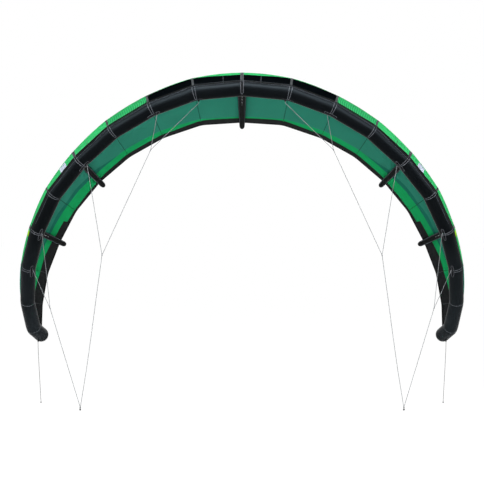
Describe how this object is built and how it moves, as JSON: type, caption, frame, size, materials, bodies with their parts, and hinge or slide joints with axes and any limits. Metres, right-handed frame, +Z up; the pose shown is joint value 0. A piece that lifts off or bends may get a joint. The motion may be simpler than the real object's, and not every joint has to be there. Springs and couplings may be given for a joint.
{
  "type": "kitesurfing kite",
  "caption": "Arched inflatable kite with a tubular leading edge, struts, cloth canopy, hoses, valves and a bridle whose ends take the flying lines.",
  "frame": {"origin": "middle of the leading-edge tube, on its centreline, where a helper holds the kite for launch", "axes": "+X across the wing to the right tip, +Y back along the middle strut to the trailing edge, +Z up"},
  "size_m": [4.2706, 1.7135, 3.1241],
  "materials": {
    "leading_edge_cloth": "woven heavy polyester, matt, near black",
    "strut_cloth": "woven heavy polyester, matt, near black",
    "canopy_teal": "coated ripstop cloth with a soft sheen, teal with a green band",
    "canopy_black": "coated ripstop cloth, near black",
    "bladder_film": "thin clear-white plastic film",
    "hose_rubber": "milky soft hose",
    "valve_plastic": "moulded, satin black",
    "clip_plastic": "moulded, satin black",
    "bridle_line": "braided line, grey",
    "pigtail_line": "sleeved braided line, black"
  },
  "bodies": {
    "kite": {"bridle_fourth_left": "bridle_line", "bridle_fourth_right": "bridle_line", "bridle_inner_left": "bridle_line", "bridle_inner_right": "bridle_line", "bridle_outer_left": "bridle_line", "bridle_outer_right": "bridle_line", "bridle_second_left": "bridle_line", "bridle_second_right": "bridle_line", "bridle_third_left": "bridle_line", "bridle_third_right": "bridle_line", "canopy_inner_left": "canopy_teal", "canopy_inner_right": "canopy_teal", "canopy_middle_left": "canopy_teal", "canopy_middle_right": "canopy_teal", "canopy_tip_left": "canopy_black", "canopy_tip_right": "canopy_black", "dump_valve": "valve_plastic", "hose_clip_centre": "clip_plastic", "hose_clip_outer_left": "clip_plastic", "hose_clip_outer_right": "clip_plastic", "hose_clip_quarter_left": "clip_plastic", "hose_clip_quarter_right": "clip_plastic", "inflate_valve": "valve_plastic", "leading_edge_bladder": "bladder_film", "leading_edge_inner_left": "leading_edge_cloth", "leading_edge_inner_right": "leading_edge_cloth", "leading_edge_middle_left": "leading_edge_cloth", "leading_edge_middle_right": "leading_edge_cloth", "leading_edge_tip_left": "leading_edge_cloth", "leading_edge_tip_right": "leading_edge_cloth", "strut_bladder_centre": "bladder_film", "strut_bladder_outer_left": "bladder_film", "strut_bladder_outer_right": "bladder_film", "strut_bladder_quarter_left": "bladder_film", "strut_bladder_quarter_right": "bladder_film", "strut_centre": "strut_cloth", "strut_hose_centre": "hose_rubber", "strut_hose_outer_left": "hose_rubber", "strut_hose_outer_right": "hose_rubber", "strut_hose_quarter_left": "hose_rubber", "strut_hose_quarter_right": "hose_rubber", "strut_outer_left": "strut_cloth", "strut_outer_right": "strut_cloth", "strut_quarter_left": "strut_cloth", "strut_quarter_right": "strut_cloth"},
    "inflate_cap": {"inflate_valve_cap": "valve_plastic"},
    "dump_cap": {"dump_valve_cap": "valve_plastic"},
    "clip_jaw_centre": {"hose_clip_jaw_centre": "clip_plastic"},
    "clip_jaw_quarter_left": {"hose_clip_jaw_quarter_left": "clip_plastic"},
    "clip_jaw_quarter_right": {"hose_clip_jaw_quarter_right": "clip_plastic"},
    "clip_jaw_outer_left": {"hose_clip_jaw_outer_left": "clip_plastic"},
    "clip_jaw_outer_right": {"hose_clip_jaw_outer_right": "clip_plastic"},
    "front_pigtail_left": {"front_pigtail_left": "pigtail_line"},
    "rear_leader_left": {"rear_leader_left": "pigtail_line", "rear_leader_knot_left": "pigtail_line"},
    "front_pigtail_right": {"front_pigtail_right": "pigtail_line"},
    "rear_leader_right": {"rear_leader_right": "pigtail_line", "rear_leader_knot_right": "pigtail_line"}
  },
  "joints": [
    {"name": "inflate_cap_hinge", "type": "hinge", "parent": "kite", "child": "inflate_cap", "pos_m": [-0.22684, 0.07537, -0.07045], "axis": [-0.995, 0.0418, -0.0911], "range_deg": [0, 140]},
    {"name": "dump_cap_hinge", "type": "hinge", "parent": "kite", "child": "dump_cap", "pos_m": [0.25617, 0.07507, -0.07887], "axis": [-0.995, -0.0418, 0.0911], "range_deg": [0, 140]},
    {"name": "clip_jaw_centre_hinge", "type": "hinge", "parent": "kite", "child": "clip_jaw_centre", "pos_m": [0.07882, 0.17529, 0.04679], "axis": [-0.1285, 0.6698, 0.7313], "range_deg": [0, 45]},
    {"name": "clip_jaw_quarter_left_hinge", "type": "hinge", "parent": "kite", "child": "clip_jaw_quarter_left", "pos_m": [-1.44148, 0.38421, -0.55749], "axis": [-0.7355, 0.6697, 0.103], "range_deg": [0, 45]},
    {"name": "clip_jaw_quarter_right_hinge", "type": "hinge", "parent": "kite", "child": "clip_jaw_quarter_right", "pos_m": [1.4261, 0.39925, -0.54555], "axis": [0.7355, 0.6697, 0.103], "range_deg": [0, 45]},
    {"name": "clip_jaw_outer_left_hinge", "type": "hinge", "parent": "kite", "child": "clip_jaw_outer_left", "pos_m": [-1.88975, 0.67123, -1.1851], "axis": [-0.6914, 0.6438, -0.328], "range_deg": [0, 45]},
    {"name": "clip_jaw_outer_right_hinge", "type": "hinge", "parent": "kite", "child": "clip_jaw_outer_right", "pos_m": [1.87982, 0.68896, -1.17124], "axis": [0.6913, 0.6438, -0.328], "range_deg": [0, 45]},
    {"name": "front_pigtail_left_swing", "type": "hinge", "parent": "kite", "child": "front_pigtail_left", "pos_m": [-1.49, 0.35, -2.9103], "axis": [1, 0, 0], "range_deg": [-75, 75]},
    {"name": "rear_leader_left_swing", "type": "hinge", "parent": "kite", "child": "rear_leader_left", "pos_m": [-1.9937, 1.3177, -2.3601], "axis": [1, 0, 0], "range_deg": [-50, 15]},
    {"name": "front_pigtail_right_swing", "type": "hinge", "parent": "kite", "child": "front_pigtail_right", "pos_m": [1.49, 0.35, -2.9103], "axis": [1, 0, 0], "range_deg": [-75, 75]},
    {"name": "rear_leader_right_swing", "type": "hinge", "parent": "kite", "child": "rear_leader_right", "pos_m": [1.9937, 1.3177, -2.3601], "axis": [1, 0, 0], "range_deg": [-50, 15]}
  ]
}
